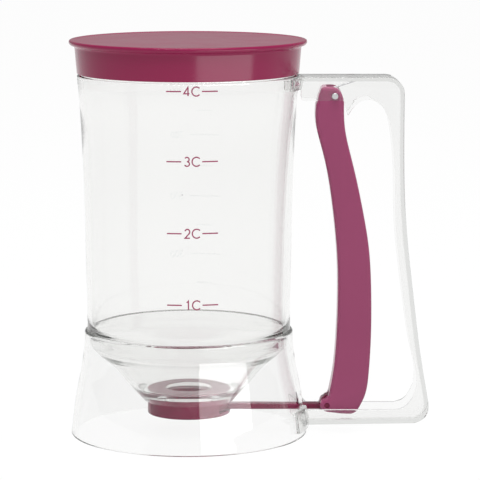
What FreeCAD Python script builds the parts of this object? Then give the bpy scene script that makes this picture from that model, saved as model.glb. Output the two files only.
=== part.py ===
import FreeCAD, Part
import math
import os

import Sketcher

V = FreeCAD.Vector

# ---------------------------------------------------------------------------
# Pancake batter dispenser.
# Frame: origin on the vessel's axis at the table, +Z up, +X towards the
# handle, the printed cup marks face -Y.  All sizes in millimetres.
# ---------------------------------------------------------------------------

doc = FreeCAD.newDocument("batter_dispenser")
sheet = doc.addObject("Spreadsheet::Sheet", "dims")
sheet.Label = "dims"


class Dim:
    """A number that remembers the spreadsheet formula it came from."""

    def __init__(self, value, text):
        self.v = float(value)
        self.t = text

    @staticmethod
    def of(x):
        return x if isinstance(x, Dim) else Dim(x, "%.6g" % x)

    def __add__(self, o):
        o = Dim.of(o)
        return Dim(self.v + o.v, "(%s + %s)" % (self.t, o.t))

    __radd__ = __add__

    def __sub__(self, o):
        o = Dim.of(o)
        return Dim(self.v - o.v, "(%s - (%s))" % (self.t, o.t))

    def __rsub__(self, o):
        return Dim.of(o) - self

    def __mul__(self, o):
        o = Dim.of(o)
        return Dim(self.v * o.v, "(%s * %s)" % (self.t, o.t))

    __rmul__ = __mul__

    def __truediv__(self, o):
        o = Dim.of(o)
        return Dim(self.v / o.v, "(%s / %s)" % (self.t, o.t))

    def __neg__(self):
        return Dim(-self.v, "(0 - %s)" % self.t)


TABLE = [
    # lid: push-on cap
    ("lid_top_z", 186.4, "top face of the lid"),
    ("lid_bead_rad", 1.4, "half thickness of the rounded rim"),
    ("lid_rim_rad", 55.6, "lid rim radius"),
    ("lid_skirt_top_rad", 52.85, "lid skirt, outside, under the rim"),
    ("lid_skirt_low_rad", 51.9, "lid skirt, outside, lower edge"),
    ("lid_low_z", 170.8, "lower edge of the lid skirt"),
    ("lid_skirt_wall", 1.2, "lid skirt wall"),
    ("lid_disc", 2.4, "lid disc thickness"),
    ("lid_plug_rad", 48.65, "plug ring inside the neck, outside radius"),
    ("lid_plug_wall", 1.3, "plug ring wall"),
    ("lid_plug_low_z", 178.5, "plug ring lower edge"),
    # vessel: barrel with the funnel bowl in its foot
    ("neck_rad", 50.3, "barrel neck outside"),
    ("neck_wall", 1.3, "barrel neck wall"),
    ("neck_top_z", 183.4, "barrel rim"),
    ("neck_low_z", 169.9, "shoulder under the lid"),
    ("barrel_wall", 2.1, "barrel wall"),
    ("barrel_top_rad", 51.95, "barrel outside at the shoulder"),
    ("barrel_a_rad", 51.7, "outside at z 167.3"),
    ("barrel_b_rad", 49.95, "outside at z 141.5"),
    ("barrel_c_rad", 48.75, "outside at z 106"),
    ("barrel_d_rad", 48.2, "outside at z 74"),
    ("barrel_low_rad", 48.0, "outside at the skirt joint"),
    ("joint_z", 50.0, "where the skirt meets the barrel"),
    ("rebate_rad", 47.0, "barrel rebate inside the skirt's ring"),
    ("rebate_low_z", 44.5, "lower end of the rebate"),
    ("bowl_slope", 0.86, "bowl wall, radius per height"),
    ("bowl_wall_x", 2.9, "bowl wall measured level"),
    ("bowl_knee_z", 37.0, "where the bowl wall starts to curve up"),
    ("collar_rad", 21.6, "valve collar, outside at its lower edge"),
    ("collar_low_z", 15.8, "valve collar, lower edge"),
    ("collar_bore", 19.75, "bore that takes the valve housing"),
    ("floor_low_z", 19.3, "underside of the bowl floor"),
    ("floor_top_z", 22.3, "bowl floor"),
    ("outlet_rad", 10.9, "outlet hole"),
    ("ledge_rad", 44.9, "bowl rim, inside"),
    ("ledge_z", 49.2, "bowl rim height"),
    # foot skirt
    ("skirt_wall", 2.0, "skirt wall"),
    ("skirt_top_rad", 49.2, "skirt top ring, outside"),
    ("skirt_low_rad", 56.0, "skirt at the table"),
    ("skirt_ring_bore", 47.06, "skirt ring bore over the rebate"),
    ("arm_slot_half", 4.6, "half width of the slot for the drawbar"),
    ("arm_slot_low_z", 9.8, "slot lower edge"),
    ("arm_slot_top_z", 18.9, "slot crown"),
    # valve
    ("housing_rad", 19.6, "valve housing outside"),
    ("housing_low_z", 9.3, "valve housing lower face"),
    ("housing_top_z", 19.2, "valve housing upper face"),
    ("gate_low_z", 11.05, "gate underside"),
    ("gate_thick", 2.45, "gate and drawbar thickness"),
    ("gate_half", 12.9, "gate half width"),
    ("gate_gap", 0.15, "gate clearance above and below"),
    ("gate_side_gap", 0.3, "gate clearance at the sides"),
    ("arm_half", 3.0, "drawbar half width"),
    ("seal_in_rad", 11.4, "seal ring inside"),
    ("seal_out_rad", 12.75, "seal ring outside"),
    ("seal_thick", 1.5, "seal ring thickness"),
    # handle
    ("frame_half", 10.2, "handle frame half width"),
    ("frame_web", 2.0, "handle side web thickness"),
    ("frame_top_z", 169.35, "top bar, upper face"),
    ("frame_flange", 1.95, "flange thickness"),
    ("frame_low_z", 4.8, "bottom bar, lower face"),
    ("frame_bar_z", 12.1, "bottom bar, upper edge"),
    ("cheek_low_z", 158.5, "lower edge of the cheeks"),
    ("saddle_wall", 2.0, "saddle plate thickness"),
    ("saddle_half_deg", 24.0, "saddle plate half angle"),
    ("saddle_top_low_z", 163.6, "upper saddle, lower edge"),
    ("saddle_top_high_z", 169.0, "upper saddle, upper edge"),
    ("saddle_foot_low_z", 3.4, "lower saddle, lower edge"),
    ("saddle_foot_high_z", 13.4, "lower saddle, upper edge"),
    # trigger
    ("trigger_half", 7.6, "trigger half width"),
    ("trigger_wall", 2.1, "trigger side wall"),
    ("pivot_x", 68.3, "trigger pivot"),
    ("pivot_z", 160.6, "trigger pivot"),
    ("pivot_rad", 1.5, "pivot pin"),
    ("pivot_gap", 0.06, "running clearance on the pivot pin"),
    ("link_x", 65.4, "link pin"),
    ("link_z", 13.7, "link pin"),
    ("link_rad", 1.25, "link pin"),
    ("eye_half", 3.0, "drawbar eye half width"),
    ("eye_gap", 0.35, "eye to trigger fork, each side"),
    ("link_lift", 1.3, "rise of the link pin over the stroke"),
    # return spring
    ("wire_rad", 0.45, "spring wire"),
    ("coil_rad", 2.9, "spring coil, mean"),
    ("coil_pitch", 1.0, "spring coil pitch"),
]

P = {}
for row, (alias, value, note) in enumerate(TABLE, start=1):
    sheet.set("A%d" % row, alias)
    sheet.set("B%d" % row, "%.6g" % value)
    sheet.set("C%d" % row, note)
    sheet.setAlias("B%d" % row, alias)
    P[alias] = Dim(value, "dims.%s" % alias)
doc.recompute()


# ------------------------------------------------------------------ helpers
def plane(body, role):
    for feature in body.Origin.OriginFeatures:
        if feature.Role == role:
            return feature
    raise RuntimeError("no plane " + role)


def new_body(label):
    body = doc.addObject("PartDesign::Body", label)
    body.Label = label
    return body


def new_sketch(body, name, role, offset=None):
    """A sketch on one of the body's own origin planes, moved by offset along its normal."""
    sketch = body.newObject("Sketcher::SketchObject", name)
    sketch.AttachmentSupport = (plane(body, role), [""])
    sketch.MapMode = "FlatFace"
    if offset is not None:
        offset = Dim.of(offset)
        sketch.AttachmentOffset = FreeCAD.Placement(V(0, 0, offset.v), FreeCAD.Rotation())
        sketch.setExpression("AttachmentOffset.Base.z", offset.t)
    return sketch


def hold(sketch, geo, pos, x, y):
    """Ties one point of the sketch to its coordinates, as formulas of the sheet."""
    for kind, axis, d in (("DistanceX", -2, Dim.of(x)), ("DistanceY", -1, Dim.of(y))):
        if abs(d.v) < 1e-9:
            sketch.addConstraint(Sketcher.Constraint("PointOnObject", geo, pos, axis))
        else:
            index = sketch.addConstraint(
                Sketcher.Constraint(kind, -1, 1, geo, pos, d.v)
            )
            if "dims." in d.t:
                sketch.setExpression("Constraints[%d]" % index, d.t)


def outline(sketch, path):
    """Closed outline.  path is a list of steps, each ending in a corner:
    (x, y)                      a straight edge to the corner
    ("spline", [(x, y), ...])   a smooth edge through the points, the last the corner
    ("arc", (mx, my), (x, y))   an arc through a point to the corner
    The first step's start is the last step's corner."""

    def corner(step):
        if step[0] == "spline":
            return step[1][-1]
        if step[0] == "arc":
            return step[2]
        return step

    def vec(p):
        return V(Dim.of(p[0]).v, Dim.of(p[1]).v, 0)

    start = corner(path[-1])
    first = None
    previous = None
    here = start
    for step in path:
        end = corner(step)
        if step[0] == "spline":
            curve = Part.BSplineCurve()
            curve.interpolate([vec(here)] + [vec(p) for p in step[1]])
            geo = sketch.addGeometry(curve, False)
        elif step[0] == "arc":
            a, m, b = vec(here), vec(step[1]), vec(end)
            flipped = (m - a).cross(b - a).z < 0
            geo = sketch.addGeometry(Part.Arc(b, m, a) if flipped else Part.Arc(a, m, b), False)
            shape = sketch.Geometry[geo]
            if previous is not None:
                sketch.addConstraint(
                    Sketcher.Constraint(
                        "Coincident", previous[0], previous[1], geo, 2 if flipped else 1
                    )
                )
            else:
                first = (geo, 2 if flipped else 1)
            hold(sketch, geo, 1 if flipped else 2, *end)
            upright = abs(b.y - a.y) > abs(b.x - a.x)
            middle = shape.Center.x if upright else shape.Center.y
            if abs(middle) < 1e-6:
                sketch.addConstraint(
                    Sketcher.Constraint("PointOnObject", geo, 3, -2 if upright else -1)
                )
            else:
                sketch.addConstraint(
                    Sketcher.Constraint(
                        "DistanceX" if upright else "DistanceY", -1, 1, geo, 3, middle
                    )
                )
            previous = (geo, 1 if flipped else 2)
            here = end
            continue
        else:
            geo = sketch.addGeometry(Part.LineSegment(vec(here), vec(end)), False)
        if previous is not None:
            sketch.addConstraint(
                Sketcher.Constraint("Coincident", previous[0], previous[1], geo, 1)
            )
        else:
            first = (geo, 1)
        hold(sketch, geo, 2, *end)
        previous = (geo, 2)
        here = end
    sketch.addConstraint(
        Sketcher.Constraint("Coincident", previous[0], previous[1], first[0], first[1])
    )


def circle(sketch, x, y, rad):
    rad = Dim.of(rad)
    geo = sketch.addGeometry(
        Part.Circle(V(Dim.of(x).v, Dim.of(y).v, 0), V(0, 0, 1), rad.v), False
    )
    hold(sketch, geo, 3, x, y)
    index = sketch.addConstraint(Sketcher.Constraint("Radius", geo, rad.v))
    if "dims." in rad.t:
        sketch.setExpression("Constraints[%d]" % index, rad.t)


def slot(sketch, x, low, high, half):
    """Upright slot with round ends: centre line at x, ends at low and high."""
    half, low, high, x = Dim.of(half), Dim.of(low), Dim.of(high), Dim.of(x)
    outline(
        sketch,
        [
            (x - half, low + half),
            (x - half, high - half),
            ("arc", (x, high), (x + half, high - half)),
            (x + half, low + half),
            ("arc", (x, low), (x - half, low + half)),
        ][1:],
    )


def volume(body):
    doc.recompute()
    return body.Shape.Volume


def revolve(body, sketch, name, cut=False, angle=360.0, midplane=False):
    kind = "PartDesign::Groove" if cut else "PartDesign::Revolution"
    before = 0.0 if body.Tip is None else volume(body)
    feature = body.newObject(kind, name)
    feature.Profile = sketch
    feature.ReferenceAxis = (sketch, ["V_Axis"])
    feature.Angle = angle
    feature.Midplane = midplane
    after = volume(body)
    if cut and not after < before - 1e-6:
        raise RuntimeError(name + " cuts nothing")
    if not cut and not after > before + 1e-6:
        raise RuntimeError(name + " adds nothing")
    sketch.Visibility = False
    return feature


def pad(body, sketch, name, length, midplane=False):
    length = Dim.of(length)
    before = 0.0 if body.Tip is None else volume(body)
    feature = body.newObject("PartDesign::Pad", name)
    feature.Profile = sketch
    feature.Length = length.v
    if "dims." in length.t:
        feature.setExpression("Length", length.t)
    feature.Midplane = midplane
    if not volume(body) > before + 1e-6:
        raise RuntimeError(name + " adds nothing")
    return feature


def pocket(body, sketch, name, length, midplane=False, reverse=False):
    length = Dim.of(length)
    before = volume(body)
    feature = body.newObject("PartDesign::Pocket", name)
    feature.Profile = sketch
    feature.Length = length.v
    if "dims." in length.t:
        feature.setExpression("Length", length.t)
    feature.Midplane = midplane
    feature.Reversed = reverse
    after = volume(body)
    if not after < before - 1e-6:
        raise RuntimeError(name + " cuts nothing")
    return feature


def edges_where(shape, test):
    return ["Edge%d" % (i + 1) for i, e in enumerate(shape.Edges) if test(e)]


def fillet(body, name, radius, test):
    """Rounds the edges that pass the test."""
    doc.recompute()
    base = body.Tip
    names = edges_where(base.Shape, test)
    if not names:
        raise RuntimeError(name + ": no edge to round")
    feature = body.newObject("PartDesign::Fillet", name)
    feature.Base = (base, names)
    feature.Radius = radius
    doc.recompute()
    if "Invalid" in feature.State or feature.Shape.isNull() or not feature.Shape.isValid():
        raise RuntimeError(name + " failed")
    return feature


# Outside surfaces shared by the pieces that meet them, as (radius, height).
BARREL = [
    (P["barrel_low_rad"] - 0.05, 58.2),
    (P["barrel_d_rad"], 74.1),
    (P["barrel_c_rad"], 106.0),
    (P["barrel_b_rad"], 141.5),
    (P["barrel_a_rad"], 167.3),
    (P["barrel_top_rad"], P["neck_low_z"]),
]
SKIRT = [
    (P["skirt_top_rad"] + 0.1, 45.0),
    (P["skirt_top_rad"] + 0.5, 40.0),
    (P["skirt_top_rad"] + 1.1, 35.8),
    (P["skirt_top_rad"] + 2.0, 30.3),
    (P["skirt_top_rad"] + 3.15, 24.7),
    (P["skirt_low_rad"] - 2.6, 19.0),
    (P["skirt_low_rad"] - 1.7, 13.6),
    (P["skirt_low_rad"] - 0.8, 6.5),
    (P["skirt_low_rad"], 0.0),
]


def grown(points, by):
    return [(r + by, z) for r, z in points]


# ---------------------------------------------------------------- 1 the lid
lid = new_body("lid")
s = new_sketch(lid, "lid_profile", "XZ_Plane")
bead = P["lid_bead_rad"]
top = P["lid_top_z"]
under = top - P["lid_disc"]
inner_top = P["lid_skirt_top_rad"] - P["lid_skirt_wall"]
inner_low = P["lid_skirt_low_rad"] - P["lid_skirt_wall"]
outline(
    s,
    [
        (P["lid_rim_rad"] - bead, top),
        ("arc", (P["lid_rim_rad"], top - bead), (P["lid_rim_rad"] - bead, top - bead * 2)),
        (P["lid_skirt_top_rad"], top - bead * 2),
        (P["lid_skirt_low_rad"], P["lid_low_z"]),
        (inner_low, P["lid_low_z"]),
        (inner_top, under),
        (P["lid_plug_rad"], under),
        (P["lid_plug_rad"], P["lid_plug_low_z"] + 1.0),
        (P["lid_plug_rad"] - P["lid_plug_wall"] * 0.6, P["lid_plug_low_z"]),
        (P["lid_plug_rad"] - P["lid_plug_wall"], P["lid_plug_low_z"]),
        (P["lid_plug_rad"] - P["lid_plug_wall"], under),
        (0, under),
        (0, top),
    ],
)
revolve(lid, s, "lid_turned")

# ------------------------------------- 2 the vessel: barrel, bowl and collar
container = new_body("container")
s = new_sketch(container, "vessel_profile", "XZ_Plane")
slope = P["bowl_slope"]
knee = P["bowl_knee_z"]
knee_out = P["collar_rad"] + (knee - P["collar_low_z"]) * slope
knee_in = knee_out - P["bowl_wall_x"]
floor_in = P["collar_rad"] + (P["floor_top_z"] - P["collar_low_z"]) * slope - P["bowl_wall_x"]
wall = P["barrel_wall"]
outline(
    s,
    [
        (P["collar_rad"], P["collar_low_z"]),
        (knee_out, knee),
        (
            "spline",
            [
                (knee_out + 2.7, knee + 2.5),
                (knee_out + 5.2, knee + 4.5),
                (P["rebate_rad"], P["rebate_low_z"]),
            ],
        ),
        (P["rebate_rad"], P["joint_z"]),
        (P["barrel_low_rad"], P["joint_z"]),
        ("spline", BARREL),
        (P["neck_rad"], P["neck_low_z"]),
        (P["neck_rad"], P["neck_top_z"]),
        (P["neck_rad"] - P["neck_wall"], P["neck_top_z"]),
        (P["neck_rad"] - P["neck_wall"], 172.5),
        (
            "spline",
            [
                (P["barrel_a_rad"] - wall - 0.2, 164.5),
                (P["barrel_b_rad"] - wall, 141.5),
                (P["barrel_c_rad"] - wall, 106.0),
                (P["barrel_d_rad"] - wall, 74.1),
                (P["barrel_low_rad"] - wall, 58.2),
                (P["barrel_low_rad"] - wall, P["ledge_z"] + 2.2),
            ],
        ),
        (P["ledge_rad"] + 0.25, P["ledge_z"] + 0.9),
        (P["ledge_rad"], P["ledge_z"]),
        (
            "spline",
            [
                (P["ledge_rad"] - 0.35, P["ledge_z"] - 3.6),
                (P["ledge_rad"] - 2.3, P["ledge_z"] - 7.2),
                (knee_in + 2.6, knee + 2.8),
                (knee_in, knee),
            ],
        ),
        (floor_in, P["floor_top_z"]),
        (P["outlet_rad"], P["floor_top_z"]),
        (P["outlet_rad"], P["floor_low_z"]),
        (P["collar_bore"], P["floor_low_z"]),
        (P["collar_bore"], P["floor_low_z"] - 1.3),
        (P["collar_bore"] + 0.3, P["floor_low_z"] - 1.7),
        (P["collar_bore"], P["floor_low_z"] - 2.1),
        (P["collar_bore"], P["collar_low_z"]),
    ],
)
revolve(container, s, "vessel_turned")

# ------------------------------------------------------- 3 the flared skirt
base_skirt = new_body("base_skirt")
s = new_sketch(base_skirt, "skirt_profile", "XZ_Plane")
inside = [(r - P["skirt_wall"], z) for r, z in SKIRT[1:-1]]
inside.reverse()
outline(
    s,
    [
        (P["skirt_top_rad"] - 0.7, P["joint_z"] - 0.05),
        (P["skirt_top_rad"], P["joint_z"] - 0.7),
        ("spline", SKIRT),
        (P["skirt_low_rad"] - P["skirt_wall"], 0),
        ("spline", inside + [(P["skirt_ring_bore"], P["rebate_low_z"] - 1.0)]),
        (P["skirt_ring_bore"], P["joint_z"] - 0.05),
    ],
)
revolve(base_skirt, s, "skirt_turned")
s = new_sketch(base_skirt, "arm_slot", "YZ_Plane")
half = P["arm_slot_half"]
outline(
    s,
    [
        (half, P["arm_slot_low_z"]),
        (half, P["arm_slot_top_z"] - half * 0.75),
        ("arc", (0, P["arm_slot_top_z"]), (-half, P["arm_slot_top_z"] - half * 0.75)),
        (-half, P["arm_slot_low_z"]),
    ],
)
cut = pocket(base_skirt, s, "arm_slot_cut", 70.0, reverse=True)
gone = base_skirt.Shape.BoundBox
if base_skirt.Shape.isInside(V(53.5, 0, 14), 0.01, True) or not base_skirt.Shape.isInside(
    V(-53.3, 0, 14), 0.01, True
):
    raise RuntimeError("the drawbar slot is on the wrong side")

# ---------------------------------------------------- 4 the valve's housing
housing = new_body("valve_housing")
s = new_sketch(housing, "housing_profile", "XZ_Plane")
hr = P["housing_rad"]
outline(
    s,
    [
        (hr - 0.5, P["housing_low_z"]),
        (hr, P["housing_low_z"] + 0.5),
        (hr, P["floor_low_z"] - 2.1),
        (hr + 0.3, P["floor_low_z"] - 1.7),
        (hr, P["floor_low_z"] - 1.3),
        (hr, P["housing_top_z"] - 0.3),
        (hr - 0.3, P["housing_top_z"]),
        (P["outlet_rad"], P["housing_top_z"]),
        (P["outlet_rad"], P["housing_low_z"]),
    ],
)
revolve(housing, s, "housing_turned")
s = new_sketch(housing, "gate_way", "XY_Plane", P["gate_low_z"] - P["gate_gap"])
gw = P["gate_half"] + P["gate_side_gap"]
outline(s, [(26.0, gw), (0, gw), ("arc", (-gw, 0), (0, -gw)), (26.0, -gw)])
pocket(housing, s, "gate_way_cut", P["gate_thick"] + P["gate_gap"] * 2, reverse=True)
way_top = P["gate_low_z"] + P["gate_thick"] + P["gate_gap"]
s = new_sketch(housing, "seal_seat", "XZ_Plane")
outline(
    s,
    [
        (P["seal_out_rad"] + 0.1, way_top - 0.2),
        (P["seal_out_rad"] + 0.1, way_top + P["seal_thick"]),
        (P["seal_in_rad"] - 0.1, way_top + P["seal_thick"]),
        (P["seal_in_rad"] - 0.1, way_top - 0.2),
    ],
)
revolve(housing, s, "seal_seat_cut", cut=True)

# ----------------------------------------------------------- 5 the gate seal
seal = new_body("gate_seal")
s = new_sketch(seal, "seal_profile", "XZ_Plane")
outline(
    s,
    [
        (P["seal_out_rad"], way_top - 0.05),
        (P["seal_out_rad"], way_top - 0.05 + P["seal_thick"]),
        (P["seal_in_rad"], way_top - 0.05 + P["seal_thick"]),
        (P["seal_in_rad"], way_top - 0.05),
    ],
)
revolve(seal, s, "seal_turned")

# ----------------------------------------- 6 the sliding gate and its drawbar
gate = new_body("gate_slide")
s = new_sketch(gate, "gate_plan", "XY_Plane", P["gate_low_z"])
gh = P["gate_half"]
ah = P["arm_half"]
outline(
    s,
    [
        (12.6, gh),
        (0, gh),
        ("arc", (-gh, 0), (0, -gh)),
        (12.6, -gh),
        (18.6, -ah),
        (62.0, -ah),
        (62.0, ah),
        (18.6, ah),
    ],
)
pad(gate, s, "gate_plate", P["gate_thick"])
s = new_sketch(gate, "eye_side", "XZ_Plane")
lx, lz = P["link_x"], P["link_z"]
outline(
    s,
    [
        (61.4, P["gate_low_z"] + P["gate_thick"]),
        (62.5, lz + 1.9),
        (64.6, lz + 4.2),
        (67.8, lz + 4.2),
        (68.9, lz + 3.1),
        (68.9, lz - 2.2),
        (67.8, lz - 3.3),
        (62.9, lz - 3.3),
        (61.9, P["gate_low_z"]),
        (61.4, P["gate_low_z"]),
    ],
)
pad(gate, s, "eye", P["eye_half"] * 2, midplane=True)
s = new_sketch(gate, "eye_slot", "XZ_Plane")
half = P["link_rad"] + 0.15
slot(s, lx, lz - half, lz + P["link_lift"] + half + 0.05, half)
pocket(gate, s, "eye_slot_cut", 20.0, midplane=True)

# ------------------------------------------------------ 7 the handle's frame
frame = new_body("handle_frame")
s = new_sketch(frame, "frame_side", "XZ_Plane")
ftop, flow = P["frame_top_z"], P["frame_low_z"]
OUTER_EDGE = [
    (100.98, 121.5),
    (101.7, 105.0),
    (103.1, 88.5),
    (105.3, 69.6),
    (108.9, 40.9),
    (112.7, 18.0),
]
INNER_EDGE = [
    (107.0, 22.5),
    (104.8, 40.9),
    (101.7, 60.1),
    (100.4, 69.6),
    (98.1, 88.5),
    (96.9, 103.2),
    (96.5, 122.8),
    (95.7, 135.3),
    (94.6, 144.0),
    (92.3, 152.7),
    (89.8, 156.2),
    (85.8, 158.7),
    (82.4, 158.9),
    (79.4, 157.7),
    (74.3, 151.4),
]
outline(
    s,
    [
        (92.4, ftop),
        ("arc", (98.3, ftop - 2.5), (100.8, ftop - 8.4)),
        ("spline", OUTER_EDGE),
        ("arc", (112.0, 9.3), (107.0, flow + 0.9)),
        (46.0, flow),
        (46.0, P["frame_bar_z"]),
        (97.5, P["frame_bar_z"]),
        ("spline", [(101.6, 13.4), (104.8, 16.9)] + INNER_EDGE),
        (72.9, P["cheek_low_z"]),
        (53.6, P["cheek_low_z"]),
        ("arc", (52.96, P["cheek_low_z"] + 0.26), (52.7, P["cheek_low_z"] + 0.9)),
        (52.7, P["saddle_top_low_z"]),
        (46.0, P["saddle_top_low_z"]),
        (46.0, ftop),
    ],
)
pad(frame, s, "frame_solid", P["frame_half"] * 2, midplane=True)
s = new_sketch(frame, "frame_hollow", "XZ_Plane")
fl = P["frame_flange"]
outline(
    s,
    [
        (92.4, ftop - fl),
        ("arc", (96.95, ftop - 3.9), (98.85, ftop - 8.4)),
        ("spline", [(x - 1.95, z) for x, z in OUTER_EDGE]),
        ("arc", (110.4, 10.3), (106.9, flow + 0.9 + fl)),
        (40.0, flow + fl),
        (40.0, ftop - fl),
    ],
)
pocket(
    frame, s, "frame_hollow_cut", (P["frame_half"] - P["frame_web"]) * 2, midplane=True
)
# saddle plates that lie against the barrel and the skirt
for label, low, high in (
    ("top", P["saddle_top_low_z"], P["saddle_top_high_z"]),
    ("foot", P["saddle_foot_low_z"], P["saddle_foot_high_z"]),
):
    s = new_sketch(frame, "saddle_%s_profile" % label, "XZ_Plane")
    if label == "top":
        outer_low, outer_high = P["barrel_a_rad"] - 0.3, P["barrel_top_rad"]
    else:
        outer_low, outer_high = P["skirt_low_rad"] - 0.45, P["skirt_low_rad"] - 1.75
    inner_cut = 47.0
    w = P["saddle_wall"]
    outline(
        s,
        [
            (outer_low + w - 0.6, low),
            (outer_low + w, low + 0.6),
            (outer_high + w, high - 0.6),
            (outer_high + w - 0.6, high),
            (inner_cut, high),
            (inner_cut, low),
        ],
    )
    revolve(
        frame,
        s,
        "saddle_%s" % label,
        angle=P["saddle_half_deg"].v * 2,
        midplane=True,
    )
# everything inside the barrel and skirt surface is cleared
s = new_sketch(frame, "vessel_clearance", "XZ_Plane")
gap = 0.08
barrel_up = grown(BARREL, gap)
skirt_up = grown(SKIRT, gap)
skirt_up.reverse()
outline(
    s,
    [
        (P["skirt_low_rad"] + gap, 0),
        ("spline", skirt_up[1:] + [(P["skirt_top_rad"] + gap, P["joint_z"] + 0.6)]),
        (P["barrel_low_rad"] + gap, P["joint_z"] + 0.6),
        ("spline", barrel_up),
        (P["barrel_top_rad"] + gap, 175.0),
        (0, 175.0),
        (0, 0),
    ],
)
revolve(frame, s, "vessel_clearance_cut", cut=True)
# the drawbar passes through the lower saddle
s = new_sketch(frame, "saddle_gap", "YZ_Plane")
half = P["arm_slot_half"]
outline(
    s,
    [
        (half, P["arm_slot_low_z"]),
        (half, 16.0),
        (-half, 16.0),
        (-half, P["arm_slot_low_z"]),
    ],
)
pocket(frame, s, "saddle_gap_cut", 62.0, reverse=True)
s = new_sketch(frame, "pivot_holes", "XZ_Plane")
circle(s, P["pivot_x"], P["pivot_z"], P["pivot_rad"] + 0.02)
pocket(frame, s, "pivot_holes_cut", 40.0, midplane=True)

# ------------------------------------------------------------ 8 the trigger
trigger = new_body("trigger")
s = new_sketch(trigger, "trigger_side", "XZ_Plane")
FINGER_SIDE = [
    (59.35, 151.3),
    (60.0, 145.1),
    (61.9, 137.6),
    (64.45, 127.5),
    (67.1, 111.9),
    (69.3, 92.6),
    (70.1, 79.9),
    (70.2, 60.7),
    (69.4, 41.5),
    (67.75, 26.4),
    (66.2, 18.6),
]
GRIP_SIDE = [
    (83.1, 17.6),
    (85.1, 28.9),
    (86.0, 45.0),
    (86.15, 61.0),
    (85.7, 77.0),
    (84.9, 87.7),
    (81.9, 106.2),
    (78.6, 121.9),
    (75.5, 134.4),
    (73.5, 143.4),
    (72.75, 152.0),
    (72.75, 157.4),
]
outline(
    s,
    [
        (60.9, 160.8),
        (60.2, 157.4),
        (59.6, 156.2),
        ("spline", FINGER_SIDE),
        (lx - 0.3, lz + 3.3),
        ("arc", (lx - 3.3, lz), (lx - 0.3, lz - 3.3)),
        (71.7, 9.6),
        (76.6, 9.4),
        ("arc", (79.0, 10.6), (80.7, 12.6)),
        ("spline", GRIP_SIDE),
        ("arc", (71.1, 162.4), (67.2, 164.7)),
        (62.4, 164.7),
    ],
)
th = P["trigger_half"]
pad(trigger, s, "trigger_solid", th * 2, midplane=True)


def finger_edge(e):
    """The long edges of the finger face, on both flanks."""
    box = e.BoundBox
    flat = abs(box.YMax - box.YMin) < 1e-6 and abs(abs(box.YMin) - th.v) < 1e-6
    return flat and box.ZMax - box.ZMin > 60 and box.XMin < 60.5


fillet(trigger, "finger_round", 2.0, finger_edge)
s = new_sketch(trigger, "trigger_hollow", "XZ_Plane")
outline(
    s,
    [
        (63.2, 162.5),
        (62.5, 157.0),
        ("spline", [(x + 2.2, z) for x, z in FINGER_SIDE[:-1]] + [(69.4, 22.0)]),
        (71.9, 19.6),
        (71.9, 11.9),
        (95.0, 11.9),
        (95.0, 166.5),
        (64.5, 166.5),
        (64.5, 162.5),
    ],
)
pocket(trigger, s, "trigger_hollow_cut", (th - P["trigger_wall"]) * 2, midplane=True)
s = new_sketch(trigger, "fork_slot", "XZ_Plane")
outline(
    s,
    [
        (58.0, 8.0),
        (70.3, 8.0),
        (70.3, 19.3),
        (58.0, 19.3),
    ],
)
pocket(trigger, s, "fork_slot_cut", (P["eye_half"] + P["eye_gap"]) * 2, midplane=True)
s = new_sketch(trigger, "pin_bores", "XZ_Plane")
circle(s, P["pivot_x"], P["pivot_z"], P["pivot_rad"] + P["pivot_gap"])
circle(s, lx, lz, P["link_rad"] + 0.02)
pocket(trigger, s, "pin_bores_cut", 40.0, midplane=True)


# ------------------------------------------------------------- 9, 10 the pins
def plain_pin(label, x, z, rad, length):
    """A turned pin with small chamfers at both ends, lying along Y."""
    body = new_body(label)
    sk = new_sketch(body, label + "_round", "XZ_Plane")
    circle(sk, x, z, rad)
    pad(body, sk, label + "_bar", length, midplane=True)
    doc.recompute()
    base = body.Tip
    rims = edges_where(
        base.Shape,
        lambda e: e.BoundBox.YMax - e.BoundBox.YMin < 1e-6,
    )
    feature = body.newObject("PartDesign::Chamfer", label + "_ends")
    feature.Base = (base, rims)
    feature.Size = 0.25
    doc.recompute()
    return body


pivot_pin = plain_pin("pivot_pin", P["pivot_x"], P["pivot_z"], P["pivot_rad"], 20.4)
link_pin = plain_pin("link_pin", lx, lz, P["link_rad"], 15.0)

# -------------------------------------------------------- 11 return spring
# A torsion spring round the pivot pin.  One leg bears up on the underside of
# the top bar, the other on the inside of the finger wall.
coil = P["coil_rad"].v
wire = P["wire_rad"].v
px, pz = P["pivot_x"].v, P["pivot_z"].v
start_deg, end_deg, turns = 107.0, 165.5, 4
start, end = math.radians(start_deg), math.radians(end_deg)
sweep = turns + (end_deg - start_deg) / 360.0
pitch = P["coil_pitch"].v
height = pitch * sweep
half_width = height / 2.0
u = V(math.cos(start), 0, math.sin(start))
w = V(-math.sin(start), 0, math.cos(start))
n = V(0, -1, 0)
matrix = FreeCAD.Matrix(
    u.x, w.x, n.x, px, u.y, w.y, n.y, half_width, u.z, w.z, n.z, pz, 0, 0, 0, 1
)
helix = Part.makeHelix(pitch, height, coil, 0)
helix.transformShape(matrix, True)
p_start = V(px + coil * math.cos(start), half_width, pz + coil * math.sin(start))
p_end = V(px + coil * math.cos(end), -half_width, pz + coil * math.sin(end))
rise = P["frame_top_z"].v - P["frame_flange"].v - wire - 0.06 - p_start.z
out = V(math.sin(start), 0, -math.cos(start))
leg_a = p_start + out * (rise / out.z)
down = V(-math.sin(end), 0, math.cos(end))
leg_b = p_end + down * 12.2
path = Part.Wire(
    [Part.makeLine(leg_a, p_start)] + helix.Edges + [Part.makeLine(p_end, leg_b)]
)
section = Part.Wire([Part.makeCircle(wire, leg_a, out)])
spring_shape = path.makePipeShell([section], True, True)
return_spring = doc.addObject("Part::Feature", "return_spring")
return_spring.Label = "return_spring"
return_spring.Shape = spring_shape
return_spring.Placement = FreeCAD.Placement()

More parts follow.
